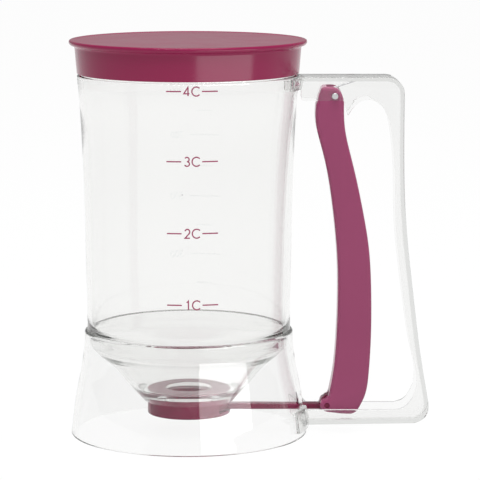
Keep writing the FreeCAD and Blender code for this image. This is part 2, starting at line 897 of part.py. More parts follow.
# ------------------------------------------------------------------- output
doc.recompute()
PIECES = [
    lid,
    container,
    base_skirt,
    housing,
    seal,
    gate,
    frame,
    trigger,
    pivot_pin,
    link_pin,
    return_spring,
]
for obj in doc.Objects:
    for word in ("Invalid", "Error"):
        if word in obj.State:
            raise RuntimeError("%s is %s" % (obj.Name, word))
os.makedirs("parts", exist_ok=True)
for piece in PIECES:
    shape = piece.Shape
    if shape.isNull() or not shape.isValid():
        raise RuntimeError(piece.Label + " has no valid shape")
    solids = len(shape.Solids)
    box = shape.BoundBox
    print(
        "%-14s solids %d  volume %9.1f  x %.1f..%.1f y %.1f..%.1f z %.1f..%.1f"
        % (piece.Label, solids, shape.Volume, box.XMin, box.XMax, box.YMin, box.YMax, box.ZMin, box.ZMax)
    )
    if solids != 1:
        raise RuntimeError(piece.Label + " is not one solid")
    shape.exportStep("parts/%s.step" % piece.Label)
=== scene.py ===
import math

import bmesh
import bpy
import numpy as np
from mathutils import Matrix, Vector


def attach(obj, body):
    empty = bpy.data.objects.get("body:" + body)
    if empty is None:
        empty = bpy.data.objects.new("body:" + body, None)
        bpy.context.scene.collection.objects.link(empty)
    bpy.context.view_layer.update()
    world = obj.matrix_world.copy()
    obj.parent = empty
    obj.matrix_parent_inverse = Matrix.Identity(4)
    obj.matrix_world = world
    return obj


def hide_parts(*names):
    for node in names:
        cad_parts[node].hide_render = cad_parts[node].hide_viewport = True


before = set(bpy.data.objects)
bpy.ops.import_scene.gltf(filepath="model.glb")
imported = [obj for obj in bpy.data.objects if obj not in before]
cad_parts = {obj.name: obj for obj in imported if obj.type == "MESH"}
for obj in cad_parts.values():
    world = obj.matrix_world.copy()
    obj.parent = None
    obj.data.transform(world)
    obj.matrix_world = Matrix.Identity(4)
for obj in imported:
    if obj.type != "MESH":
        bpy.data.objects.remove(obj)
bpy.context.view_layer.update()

scene = bpy.context.scene
MM = 0.001


# --------------------------------------------------------------- the camera
cam_data = bpy.data.cameras.new("camera")
cam_data.sensor_width = 36.0
cam_data.lens = 197.85
cam_data.clip_start = 0.05
cam_data.clip_end = 50.0
cam = bpy.data.objects.new("camera", cam_data)
cam.location = (0.02425, -1.2296, 0.2766)
cam.rotation_euler = (math.radians(81.45), 0.0, 0.0)
scene.collection.objects.link(cam)
scene.camera = cam


# ------------------------------------------------------------ curve helpers
def spline(start, points, step=1.2):
    """Smooth curve from start through points, as a dense list without start."""
    p = np.array([start] + list(points), float)
    d = np.linalg.norm(np.diff(p, axis=0), axis=1)
    t = np.concatenate([[0], np.cumsum(d)])
    n = len(p)
    a = np.zeros((n, n))
    b = np.zeros((n, 2))
    a[0, 0] = 2 * d[0]
    a[0, 1] = d[0]
    b[0] = 3 * (p[1] - p[0])
    a[-1, -1] = 2 * d[-1]
    a[-1, -2] = d[-1]
    b[-1] = 3 * (p[-1] - p[-2])
    for i in range(1, n - 1):
        a[i, i - 1] = d[i]
        a[i, i] = 2 * (d[i - 1] + d[i])
        a[i, i + 1] = d[i - 1]
        b[i] = 3 * (
            d[i] * (p[i] - p[i - 1]) / d[i - 1] + d[i - 1] * (p[i + 1] - p[i]) / d[i]
        )
    m = np.linalg.solve(a, b)
    out = []
    for i in range(n - 1):
        k = max(2, int(math.ceil(d[i] / step)))
        for j in range(1, k + 1):
            s = j / k
            h = d[i]
            out.append(
                (2 * s**3 - 3 * s**2 + 1) * p[i]
                + (s**3 - 2 * s**2 + s) * h * m[i]
                + (-2 * s**3 + 3 * s**2) * p[i + 1]
                + (s**3 - s**2) * h * m[i + 1]
            )
    return [tuple(x) for x in out]


def loop(path, default=0.35, seg=6, step=1.2):
    """Dense closed outline.  path holds corners (x, y) or (x, y, cut), and
    ("s", [points...], cut) for smooth runs that end in a corner."""
    corners = []
    last = path[-1]
    here = (last[1][-1] if last[0] == "s" else last)[:2]
    pts = []
    for item in path:
        if item[0] == "s":
            run = spline(here, item[1], step)
            for q in run[:-1]:
                pts.append((q[0], q[1], 0.0))
            cut = item[2] if len(item) > 2 else default
            pts.append((run[-1][0], run[-1][1], cut))
            here = run[-1]
        else:
            cut = item[2] if len(item) > 2 else default
            pts.append((item[0], item[1], cut))
            here = item[:2]
    n = len(pts)
    xy = [np.array(q[:2], float) for q in pts]

    def walk(i, direction, dist):
        j = i
        left = dist
        while True:
            k = (j + direction) % n
            seglen = np.linalg.norm(xy[k] - xy[j])
            if seglen >= left or k == i:
                return xy[j] + (xy[k] - xy[j]) * min(1.0, left / max(seglen, 1e-9)), j
            left -= seglen
            j = k

    removed = set()
    arcs = {}
    for i in range(n):
        cut = pts[i][2]
        if cut <= 0:
            continue
        a, ja = walk(i, -1, cut)
        b, jb = walk(i, 1, cut)
        k = i
        while k != ja:
            removed.add(k)
            k = (k - 1) % n
        k = i
        while k != jb:
            removed.add(k)
            k = (k + 1) % n
        c = xy[i]
        arcs[i] = [
            (1 - s) ** 2 * a + 2 * s * (1 - s) * c + s**2 * b
            for s in np.linspace(0, 1, seg + 1)
        ]
    out = []
    for i in range(n):
        if i in arcs:
            out.extend(arcs[i])
        elif i not in removed:
            out.append(xy[i])
    # short support runs next to each corner keep long flats flat
    final = []
    m = len(out)
    for i in range(m):
        p, q = out[i], out[(i + 1) % m]
        d = np.linalg.norm(q - p)
        if d < 1e-6:
            continue
        final.append(p)
        if d > 1.6:
            u = (q - p) / d
            final.append(p + u * 0.18)
            k = int(d // 6)
            for j in range(1, k + 1):
                final.append(p + (q - p) * j / (k + 1))
            final.append(q - u * 0.18)
    return final


def link(name, mesh):
    obj = bpy.data.objects.new(name, mesh)
    scene.collection.objects.link(obj)
    return obj


def smooth(obj, angle=38.0):
    mesh = obj.data
    curved = [len(f.vertices) <= 6 and f.area < 30e-6 for f in mesh.polygons]
    mesh.polygons.foreach_set("use_smooth", curved)
    mesh.set_sharp_from_angle(angle=math.radians(angle))
    mesh.update()


def tidy(obj, angle=38.0):
    bm = bmesh.new()
    bm.from_mesh(obj.data)
    bmesh.ops.remove_doubles(bm, verts=bm.verts, dist=2e-7)
    bmesh.ops.dissolve_degenerate(bm, edges=bm.edges, dist=1e-7)
    bmesh.ops.recalc_face_normals(bm, faces=bm.faces)
    bm.to_mesh(obj.data)
    bm.free()
    smooth(obj, angle)


def turned(name, outline, segments=288, angle=38.0):
    """Solid of revolution about Z from a closed (radius, height) outline in mm."""
    verts, faces = [], []
    rings = []
    for r, z in outline:
        if r < 1e-4:
            rings.append([len(verts)])
            verts.append((0, 0, z * MM))
        else:
            start = len(verts)
            for k in range(segments):
                a = 2 * math.pi * (k + 0.5) / segments
                verts.append((r * math.cos(a) * MM, r * math.sin(a) * MM, z * MM))
            rings.append(list(range(start, start + segments)))
    n = len(rings)
    for i in range(n):
        a, b = rings[i], rings[(i + 1) % n]
        if len(a) == 1 and len(b) == 1:
            continue
        for k in range(segments):
            j = (k + 1) % segments
            if len(a) == 1:
                faces.append((a[0], b[j], b[k]))
            elif len(b) == 1:
                faces.append((a[k], a[j], b[0]))
            else:
                faces.append((a[k], a[j], b[j], b[k]))
    mesh = bpy.data.meshes.new(name)
    mesh.from_pydata(verts, [], faces)
    obj = link(name, mesh)
    tidy(obj, angle)
    return obj


def inset_rings(base, depths):
    """The closed outline moved inwards to each depth; points that meet are joined."""
    a = base
    ab = np.roll(base, -1, axis=0) - base
    l2 = np.maximum((ab**2).sum(axis=1), 1e-12)
    t = np.roll(base, -1, axis=0) - np.roll(base, 1, axis=0)
    t /= np.linalg.norm(t, axis=1)[:, None]
    p = base + np.stack([-t[:, 1], t[:, 0]], axis=1) * 0.01
    rings = []
    for depth in depths:
        for _ in range(160):
            ap = p[:, None, :] - a[None]
            s = np.clip((ap * ab[None]).sum(axis=2) / l2[None], 0, 1)
            q = a[None] + ab[None] * s[..., None]
            dist = np.linalg.norm(p[:, None, :] - q, axis=2)
            k = dist.argmin(axis=1)
            d = dist[np.arange(len(p)), k]
            need = depth - d
            if need.max() < 0.002:
                break
            g = (p - q[np.arange(len(p)), k]) / np.maximum(d, 1e-6)[:, None]
            p = p + g * np.clip(need, 0, 0.03)[:, None]
        for i in range(1, len(p)):
            if np.linalg.norm(p[i] - p[i - 1]) < 0.06:
                p[i] = p[i - 1]
        if np.linalg.norm(p[0] - p[-1]) < 0.06:
            last = p[-1].copy()
            i = len(p) - 1
            while i > 0 and np.linalg.norm(p[i] - last) < 1e-9:
                p[i] = p[0]
                i -= 1
        rings.append(p.copy())
    return rings


def prism(name, outlines, half, edge=0.0, along="Y", res=4, lift=0.0):
    """Plate from a closed outline, 2*half thick, with its edges rounded by edge.
    along Y: the outline is (x, z); along Z: (x, y); along X: (y, z)."""
    base = np.array([q[:2] for q in outlines[0]], float)
    base = base[[np.linalg.norm(base[i] - base[i - 1]) > 1e-4 for i in range(len(base))]]
    nxt = np.roll(base, -1, axis=0)
    if (base[:, 0] * nxt[:, 1] - nxt[:, 0] * base[:, 1]).sum() < 0:
        base = base[::-1].copy()
    layers = [(half - edge, base)]
    if edge > 0:
        turns = [math.pi / 2 * j / res for j in range(1, res + 1)]
        for angle, ring in zip(turns, inset_rings(base, [edge * (1 - math.cos(x)) for x in turns])):
            layers.append((half - edge + edge * math.sin(angle), ring))
    stack = [(-h, ring) for h, ring in reversed(layers)] + layers
    n = len(base)
    verts = [(q[0] * MM, q[1] * MM, h * MM) for h, ring in stack for q in ring]
    faces = [tuple(range(n))[::-1], tuple(range((len(stack) - 1) * n, len(stack) * n))]
    for i in range(len(stack) - 1):
        for k in range(n):
            j = (k + 1) % n
            faces.append((i * n + k, i * n + j, (i + 1) * n + j, (i + 1) * n + k))
    mesh = bpy.data.meshes.new(name)
    mesh.from_pydata(verts, [], faces)
    if along == "Y":
        mesh.transform(Matrix(((1, 0, 0, 0), (0, 0, -1, 0), (0, 1, 0, 0), (0, 0, 0, 1))))
    elif along == "X":
        mesh.transform(Matrix(((0, 0, 1, 0), (1, 0, 0, 0), (0, 1, 0, 0), (0, 0, 0, 1))))
    mesh.transform(Matrix.Translation((0, 0, lift * MM)))
    obj = link(name, mesh)
    tidy(obj)
    return obj


def combine(target, tools, operation):
    for tool in tools:
        mod = target.modifiers.new("b", "BOOLEAN")
        mod.operation = operation
        mod.solver = "EXACT"
        mod.object = tool
        dg = bpy.context.evaluated_depsgraph_get()
        mesh = bpy.data.meshes.new_from_object(target.evaluated_get(dg))
        target.modifiers.clear()
        old = target.data
        target.data = mesh
        bpy.data.meshes.remove(old)
    for tool in tools:
        bpy.data.objects.remove(tool)
    tidy(target)
    return target


def cylinder_y(name, x, z, r, half, segments=48):
    pts = [
        (x + r * math.cos(2 * math.pi * k / segments), z + r * math.sin(2 * math.pi * k / segments))
        for k in range(segments)
    ]
    return prism(name, [pts], half)


def grow(points, by):
    return [(r + by, z) for r, z in points]


# ---------------------------------------------------------------- materials
def new_material(name):
    m = bpy.data.materials.new(name)
    m.use_nodes = True
    nt = m.node_tree
    bsdf = nt.nodes["Principled BSDF"]
    coord = nt.nodes.new("ShaderNodeTexCoord")
    return m, nt, bsdf, coord


def noise(nt, coord, scale, detail=3.0, rough=0.5):
    t = nt.nodes.new("ShaderNodeTexNoise")
    t.inputs["Scale"].default_value = scale
    t.inputs["Detail"].default_value = detail
    t.inputs["Roughness"].default_value = rough
    nt.links.new(coord.outputs["Object"], t.inputs["Vector"])
    return t


def ramp(nt, source, low, high, a=0.3, b=0.7):
    r = nt.nodes.new("ShaderNodeValToRGB")
    r.color_ramp.elements[0].position = a
    r.color_ramp.elements[1].position = b
    r.color_ramp.elements[0].color = (*low, 1) if len(low) == 3 else low
    r.color_ramp.elements[1].color = (*high, 1) if len(high) == 3 else high
    nt.links.new(source, r.inputs["Fac"])
    return r


def bump(nt, source, strength, distance, bsdf, previous=None):
    b = nt.nodes.new("ShaderNodeBump")
    b.inputs["Strength"].default_value = strength
    b.inputs["Distance"].default_value = distance
    nt.links.new(source, b.inputs["Height"])
    if previous is not None:
        nt.links.new(previous.outputs["Normal"], b.inputs["Normal"])
    nt.links.new(b.outputs["Normal"], bsdf.inputs["Normal"])
    return b


def clear_plastic(name, tint=(0.975, 0.985, 0.985), waves=0.15):
    m, nt, bsdf, coord = new_material(name)
    body = noise(nt, coord, 22.0, 2.0)
    colour = ramp(nt, body.outputs["Fac"], tuple(c - 0.006 for c in tint), tint)
    nt.links.new(colour.outputs["Color"], bsdf.inputs["Base Color"])
    fine = noise(nt, coord, 160.0, 3.0)
    rough = ramp(nt, fine.outputs["Fac"], (0.0, 0.0, 0.0), (0.03, 0.03, 0.03), 0.45, 0.85)
    nt.links.new(rough.outputs["Color"], bsdf.inputs["Roughness"])
    flow = noise(nt, coord, 9.0, 1.0, 0.4)
    bump(nt, flow.outputs["Fac"], waves, 0.0006, bsdf)
    bsdf.inputs["IOR"].default_value = 1.38
    bsdf.inputs["Transmission Weight"].default_value = 1.0
    body = nt.nodes.new("ShaderNodeVolumeAbsorption")
    body.inputs["Color"].default_value = (0.5, 0.51, 0.49, 1)
    body.inputs["Density"].default_value = 25.0
    nt.links.new(body.outputs["Volume"], nt.nodes["Material Output"].inputs["Volume"])
    return m


def berry_plastic(name, low, high, rough_low, rough_high, grain=0.25, grain_scale=900.0):
    m, nt, bsdf, coord = new_material(name)
    cloud = noise(nt, coord, 14.0, 4.0)
    colour = ramp(nt, cloud.outputs["Fac"], low, high)
    nt.links.new(colour.outputs["Color"], bsdf.inputs["Base Color"])
    patch = noise(nt, coord, 55.0, 4.0, 0.6)
    rough = ramp(nt, patch.outputs["Fac"], (rough_low,) * 3, (rough_high,) * 3)
    nt.links.new(rough.outputs["Color"], bsdf.inputs["Roughness"])
    pebbles = noise(nt, coord, grain_scale, 2.0, 0.5)
    first = bump(nt, pebbles.outputs["Fac"], grain, 0.00006, bsdf)
    sink = noise(nt, coord, 18.0, 1.0)
    bump(nt, sink.outputs["Fac"], 0.12, 0.0008, bsdf, first)
    bsdf.inputs["IOR"].default_value = 1.49
    bsdf.inputs["Specular IOR Level"].default_value = 0.3
    return m


def steel(name):
    m, nt, bsdf, coord = new_material(name)
    n = noise(nt, coord, 400.0, 4.0)
    colour = ramp(nt, n.outputs["Fac"], (0.62, 0.62, 0.63), (0.72, 0.72, 0.73))
    nt.links.new(colour.outputs["Color"], bsdf.inputs["Base Color"])
    rough = ramp(nt, n.outputs["Fac"], (0.18,) * 3, (0.32,) * 3)
    nt.links.new(rough.outputs["Color"], bsdf.inputs["Roughness"])
    drawn = nt.nodes.new("ShaderNodeTexWave")
    drawn.inputs["Scale"].default_value = 500.0
    drawn.inputs["Distortion"].default_value = 4.0
    nt.links.new(coord.outputs["Object"], drawn.inputs["Vector"])
    bump(nt, drawn.outputs["Fac"], 0.15, 0.00002, bsdf)
    bsdf.inputs["Metallic"].default_value = 1.0
    return m


def soft_rubber(name):
    m, nt, bsdf, coord = new_material(name)
    n = noise(nt, coord, 300.0, 4.0)
    colour = ramp(nt, n.outputs["Fac"], (0.42, 0.42, 0.42), (0.5, 0.5, 0.5))
    nt.links.new(colour.outputs["Color"], bsdf.inputs["Base Color"])
    rough = ramp(nt, n.outputs["Fac"], (0.5,) * 3, (0.65,) * 3)
    nt.links.new(rough.outputs["Color"], bsdf.inputs["Roughness"])
    bump(nt, n.outputs["Fac"], 0.2, 0.00003, bsdf)
    return m


def ink(name):
    m, nt, bsdf, coord = new_material(name)
    n = noise(nt, coord, 700.0, 3.0)
    colour = ramp(nt, n.outputs["Fac"], (0.3, 0.05, 0.11), (0.36, 0.07, 0.14))
    nt.links.new(colour.outputs["Color"], bsdf.inputs["Base Color"])
    rough = ramp(nt, n.outputs["Fac"], (0.45,) * 3, (0.6,) * 3)
    nt.links.new(rough.outputs["Color"], bsdf.inputs["Roughness"])
    bump(nt, n.outputs["Fac"], 0.1, 0.00002, bsdf)
    return m


M_VESSEL = clear_plastic("clear_vessel", (0.985, 0.985, 0.98), waves=0.03)
M_SKIRT = clear_plastic("clear_skirt", (0.98, 0.98, 0.978), waves=0.03)
M_HANDLE = clear_plastic("clear_handle", (0.975, 0.975, 0.972), waves=0.02)
M_RELIEF = clear_plastic("clear_relief", waves=0.05)
M_LID = berry_plastic("berry_satin", (0.24, 0.010, 0.06), (0.256, 0.0112, 0.066), 0.14, 0.19, 0.05)
M_TRIGGER = berry_plastic("berry_gloss", (0.253, 0.045, 0.113), (0.268, 0.049, 0.121), 0.18, 0.24, 0.04)
# The drum, gate and link pin are the lid's berry plastic with the base colour darkened as painted shade, standing in
# for the shade they sit in under the vessel and skirt.
M_VALVE_PAINTED_SHADE = berry_plastic("berry_painted_shade", (0.115, 0.005, 0.028), (0.127, 0.006, 0.032), 0.22, 0.3, 0.04)
M_STEEL = steel("bright_steel")
M_SEAL = soft_rubber("silicone")
M_INK = ink("marking_ink")


def dress(obj, material, body, *nodes, slot=None, clear=False):
    obj.data.materials.clear()
    obj.data.materials.append(material)
    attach(obj, body)
    if nodes:
        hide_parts(*nodes)
    if clear:
        obj.visible_shadow = False
    return obj


# ---------------------------------------------------------------- the lid
lid = turned(
    "lid_cap",
    loop(
        [
            (54.35, 186.4, 0.6),
            (55.2, 186.3, 0.5),
            (55.6, 185.6, 0.6),
            (55.5, 184.7, 0.6),
            (54.7, 183.95, 0.6),
            (53.4, 183.7, 0.5),
            (52.9, 183.0, 0.5),
            (51.9, 170.8, 0.35),
            (50.7, 170.8, 0.3),
            (51.6, 184.0, 0.3),
            (48.65, 184.0, 0.3),
            (48.65, 179.4, 0.3),
            (47.9, 178.5, 0.3),
            (47.35, 178.5, 0.2),
            (47.35, 184.0, 0.3),
            (0, 184.0, 0),
            (0, 186.15, 0),
            (52.6, 186.15, 0.5),
            (53.4, 186.4, 0.4),
        ]
    ),
)
dress(lid, M_LID, "lid", "lid", slot="lid_red")

# ------------------------------- the vessel: barrel, funnel bowl and collar
BARREL = [(47.95, 58.2), (48.2, 74.1), (48.75, 106.0), (49.95, 141.5), (51.7, 167.3), (51.95, 169.9)]
SKIRT = [
    (49.3, 45.0),
    (49.7, 40.0),
    (50.3, 35.8),
    (51.2, 30.3),
    (52.35, 24.7),
    (53.4, 19.0),
    (54.3, 13.6),
    (55.2, 6.5),
    (56.0, 0.0),
]
vessel = turned(
    "vessel_clear",
    loop(
        [
            (21.6, 15.8, 0.12),
            (39.83, 37.0, 0),
            ("s", [(42.53, 39.5), (45.0, 41.7), (46.55, 43.6), (47.0, 45.2)], 0),
            (47.0, 50.0, 0.25),
            (48.0, 50.0, 0.35),
            ("s", BARREL, 0.8),
            (50.3, 170.1, 0.3),
            (50.3, 183.4, 0.6),
            (49.0, 183.4, 0.5),
            (49.0, 172.5, 0.3),
            (
                "s",
                [
                    (49.35, 164.5),
                    (47.85, 141.5),
                    (46.65, 106.0),
                    (46.1, 74.1),
                    (45.9, 58.2),
                    (45.87, 53.6),
                    (45.5, 51.3),
                    (44.75, 49.6),
                    (44.35, 47.8),
                    (43.9, 45.2),
                    (42.5, 42.0),
                    (39.9, 39.7),
                    (36.93, 37.0),
                ],
                0,
            ),
            (24.3, 22.3, 1.6),
            (10.9, 22.3, 0.3),
            (10.9, 19.3, 0.05),
            (19.75, 19.3, 0.05),
            (19.75, 15.8, 0.05),
        ]
    ),
)
dress(vessel, M_VESSEL, "root", "container", slot="clear_vessel", clear=True)

# ------------------------------------------------------ the flared skirt
skirt = turned(
    "skirt_clear",
    loop(
        [
            (56.0, 0, 0.9),
            ("s", SKIRT[::-1][1:] + [(49.22, 49.0)], 0.5),
            (48.3, 49.96, 0.4),
            (47.04, 49.96, 0.12),
            (
                "s",
                [(47.04, 45.0), (47.15, 43.0)] + [(r - 2.0, z) for r, z in SKIRT[1:-1]] + [(54.0, 0.0)],
                0.9,
            ),
        ]
    ),
)
slot_shape = [
    (4.6, 9.8),
    (4.6, 15.4),
    ("s", [(3.9, 17.6), (2.2, 18.6), (0, 18.9), (-2.2, 18.6), (-3.9, 17.6), (-4.6, 15.4)], 0),
    (-4.6, 9.8),
]
cutter = prism("slot_cut", [loop(slot_shape, 0.4)], 10.0, along="X")
cutter.data.transform(Matrix.Translation((0.055, 0, 0)))
combine(skirt, [cutter], "DIFFERENCE")
dress(skirt, M_SKIRT, "root", "base_skirt", slot="clear_skirt", clear=True)

# ------------------------------------------------------- the handle's frame
OUTER = [(100.98, 121.5), (101.7, 105.0), (103.1, 88.5), (105.3, 69.6), (108.9, 40.9), (112.7, 18.0)]
INNER = [
    (107.0, 22.5),
    (104.8, 40.9),
    (101.7, 60.1),
    (100.4, 69.6),
    (98.1, 88.5),
    (96.9, 103.2),
    (96.5, 122.8),
    (95.7, 135.3),
    (94.6, 144.0),
    (92.3, 152.7),
    (89.8, 156.2),
    (85.8, 158.7),
    (82.4, 158.9),
    (79.4, 157.7),
    (74.3, 151.4),
]
frame_out = loop(
    [
        (92.4, 169.35, 0),
        ("s", [(96.0, 168.6), (98.9, 166.4), (100.5, 163.6), (100.8, 160.95)], 0),
        ("s", OUTER, 0),
        ("s", [(113.3, 13.2), (111.9, 8.8), (107.0, 5.7)], 0),
        (46.0, 4.8, 0.2),
        (46.0, 12.1, 0.2),
        (97.5, 12.1, 0),
        ("s", [(101.6, 13.4), (104.8, 16.9)] + INNER, 0.6),
        (72.9, 158.5, 0.8),
        (53.4, 158.5, 0.5),
        (52.7, 159.3, 0.4),
        (52.7, 163.6, 0.3),
        (46.0, 163.6, 0.2),
        (46.0, 169.35, 0.2),
    ]
)
handle = prism("handle_frame_shell", [frame_out], 10.2, edge=0.3)
hollow = prism(
    "hollow_cut",
    [
        loop(
            [
                (92.4, 167.4, 0),
                ("s", [(95.3, 166.8), (97.5, 165.0), (98.6, 162.9), (98.85, 160.95)], 0),
                ("s", [(x - 1.95, z) for x, z in OUTER], 0),
                ("s", [(111.2, 13.3), (110.2, 10.2), (106.9, 7.65)], 0),
                (40.0, 6.75, 0.2),
                (40.0, 167.4, 0.2),
            ]
        )
    ],
    8.2,
)
combine(handle, [hollow], "DIFFERENCE")


def saddle(name, inner, wall, low, high, half_deg):
    """Plate wrapped round the vessel on the handle's side; inner is (r low, r high)."""
    rows = 6
    cols = 40
    verts = []
    prof = []
    e = 0.6
    (r0, r1) = inner
    prof = [
        (r0, low),
        (r0 + wall - e, low),
        (r0 + wall - e * 0.3, low + e * 0.3),
        (r0 + wall, low + e),
        (r1 + wall, high - e),
        (r1 + wall - e * 0.3, high - e * 0.3),
        (r1 + wall - e, high),
        (r1, high),
    ]
    n = len(prof)
    for k in range(cols + 1):
        a = math.radians(-half_deg + 2 * half_deg * k / cols)
        for r, z in prof:
            verts.append((r * math.cos(a) * MM, r * math.sin(a) * MM, z * MM))
    faces = []
    for k in range(cols):
        for i in range(n):
            j = (i + 1) % n
            faces.append((k * n + i, k * n + j, (k + 1) * n + j, (k + 1) * n + i))
    faces.append(tuple(range(n)))
    faces.append(tuple(range(cols * n, cols * n + n))[::-1])
    mesh = bpy.data.meshes.new(name)
    mesh.from_pydata(verts, [], faces)
    obj = link(name, mesh)
    tidy(obj)
    return obj


combine(
    handle,
    [
        saddle("top_saddle", (50.5, 51.5), 2.9, 163.6, 169.0, 24.0),
        saddle("foot_saddle", (54.0, 52.6), 3.3, 3.4, 13.4, 24.0),
    ],
    "UNION",
)
clear_barrel = turned(
    "clear_barrel",
    loop(
        [
            (56.08, -1.0, 0),
            (56.08, 0.0, 0),
            ("s", grow(SKIRT[::-1][1:], 0.08) + [(49.28, 50.6)], 0),
            (48.05, 50.6, 0),
            ("s", grow(BARREL, 0.08), 0),
            (52.03, 175.0, 0),
            (0, 175.0, 0),
            (0, -1.0, 0),
        ],
        0,
    ),
    segments=288,
)
arm_gap = prism("arm_gap", [[(-4.6, 9.8), (4.6, 9.8), (4.6, 16.0), (-4.6, 16.0)]], 15.0, along="X")
arm_gap.data.transform(Matrix.Translation((0.047, 0, 0)))
pivot_hole = cylinder_y("pivot_hole", 68.3, 160.6, 1.52, 12.0)
combine(handle, [clear_barrel, arm_gap, pivot_hole], "DIFFERENCE")
dress(handle, M_HANDLE, "root", "handle_frame", slot="clear_handle", clear=True)

# ------------------------------------------------------------- the trigger
FINGER = [
    (59.35, 151.3),
    (60.0, 145.1),
    (61.9, 137.6),
    (64.45, 127.5),
    (67.1, 111.9),
    (69.3, 92.6),
    (70.1, 79.9),
    (70.2, 60.7),
    (69.4, 41.5),
    (67.75, 26.4),
    (66.2, 18.6),
]
GRIP = [
    (83.1, 17.6),
    (85.1, 28.9),
    (86.0, 45.0),
    (86.15, 61.0),
    (85.7, 77.0),
    (84.9, 87.7),
    (81.9, 106.2),
    (78.6, 121.9),
    (75.5, 134.4),
    (73.5, 143.4),
    (72.75, 152.0),
    (72.75, 157.4),
]
LX, LZ = 65.4, 13.7
trigger_out = loop(
    [
        (60.9, 160.8, 0.6),
        (60.2, 157.4, 0.5),
        (59.6, 156.2, 0.8),
        ("s", FINGER, 0.8),
        ("s", [(LX - 0.3, LZ + 3.3), (LX - 2.6, LZ + 2.0), (LX - 3.3, LZ), (LX - 2.5, LZ - 2.2), (LX - 0.3, LZ - 3.3)], 0.4),
        (71.7, 9.6, 0.8),
        (76.6, 9.4, 0.8),
        ("s", [(79.0, 10.4), (80.7, 12.6)], 0),
        ("s", GRIP, 0),
        ("s", [(71.6, 161.4), (69.7, 163.9), (67.2, 164.7)], 0),
        (62.4, 164.7, 1.6),
    ]
)
trigger = prism("trigger_lever", [trigger_out], 7.6, edge=1.7, res=6)
hollow = prism(
    "trigger_cut",
    [
        loop(
            [
                (63.2, 162.5, 0.6),
                (62.5, 157.0, 0.6),
                ("s", [(x + 2.2, z) for x, z in FINGER[:-1]] + [(69.4, 22.0)], 0.5),
                (71.9, 19.6, 0.5),
                (71.9, 11.9, 0.8),
                (95.0, 11.9, 0.3),
                (95.0, 166.5, 0.3),
                (64.5, 166.5, 0.3),
                (64.5, 162.5, 0.3),
            ]
        )
    ],
    5.5,
)
fork = prism("fork_cut", [[(58.0, 8.0), (70.3, 8.0), (70.3, 19.3), (58.0, 19.3)]], 3.35)
bore_a = cylinder_y("bore_a", 68.3, 160.6, 1.56, 12.0)
bore_b = cylinder_y("bore_b", LX, LZ, 1.27, 12.0)
combine(trigger, [hollow, fork, bore_a, bore_b], "DIFFERENCE")
dress(trigger, M_TRIGGER, "trigger", "trigger", slot="trigger_red")

# ------------------------------------------------------------ valve housing
housing = turned(
    "valve_drum",
    loop(
        [
            (19.6, 9.3, 0.6),
            (19.6, 15.7, 0.03),
            (19.68, 15.85, 0.03),
            (19.68, 19.33, 0.05),
            (11.05, 19.33, 0.1),
            (10.9, 19.1, 0.1),
            (10.9, 9.3, 0.6),
        ]
    ),
    segments=192,
)
way = prism(
    "way_cut",
    [
        loop(
            [
                (26.0, 13.2, 0),
                (0, 13.2, 0),
                ("s", [(-9.334, 9.334), (-13.2, 0), (-9.334, -9.334), (0, -13.2)], 0),
                (26.0, -13.2, 0),
            ],
            0,
        )
    ],
    1.375,
    along="Z",
    lift=12.275,
)
combine(housing, [way], "DIFFERENCE")
dress(housing, M_VALVE_PAINTED_SHADE, "root", "valve_housing", slot="housing_red")

# ------------------------------------------------------- gate and drawbar
gate = prism(
    "gate_drawbar",
    [
        loop(
            [
                (12.6, 12.9, 1.0),
                (0, 12.9, 0),
                ("s", [(-9.122, 9.122), (-12.9, 0), (-9.122, -9.122), (0, -12.9)], 0),
                (12.6, -12.9, 1.0),
                (18.6, -3.0, 1.5),
                (62.0, -3.0, 0.3),
                (62.0, 3.0, 0.3),
                (18.6, 3.0, 1.5),
            ],
            0,
        )
    ],
    1.225,
    edge=0.3,
    along="Z",
    lift=12.275,
)
eye = prism(
    "eye",
    [
        loop(
            [
                (61.4, 13.5, 0.6),
                (62.5, 15.6, 0.8),
                (64.6, 17.9, 0.8),
                (67.8, 17.9, 0.7),
                (68.9, 16.8, 0.7),
                (68.9, 11.5, 0.7),
                (67.8, 10.4, 0.7),
                (62.9, 10.4, 0.5),
                (61.9, 11.05, 0.2),
                (61.4, 11.05, 0.2),
            ]
        )
    ],
    3.0,
    edge=0.3,
)
combine(gate, [eye], "UNION")
slot_hole = prism(
    "slot_hole",
    [
        [
            (LX + 1.4 * math.cos(a), (LZ + 1.35 if math.sin(a) > 0 else LZ) + 1.4 * math.sin(a))
            for a in np.linspace(0, 2 * math.pi, 33)[:-1] + 0.01
        ]
    ],
    6.0,
)
combine(gate, [slot_hole], "DIFFERENCE")
dress(gate, M_VALVE_PAINTED_SHADE, "gate", "gate_slide", slot="gate_red")

# ----------------------------------------- carried-over small pieces
for node, material in (
    ("gate_seal", M_SEAL),
    ("pivot_pin", M_STEEL),
    ("link_pin", M_VALVE_PAINTED_SHADE),
    ("return_spring", M_STEEL),
):
    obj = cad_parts[node]
    obj.data.materials.clear()
    obj.data.materials.append(material)
    obj.data.polygons.foreach_set("use_smooth", [True] * len(obj.data.polygons))


# ------------------------------------------------------------ cup marks
def arc(cx, cy, rx, ry, a0, a1, n=14):
    return [
        (cx + rx * math.cos(math.radians(a)), cy + ry * math.sin(math.radians(a)))
        for a in np.linspace(a0, a1, n)
    ]


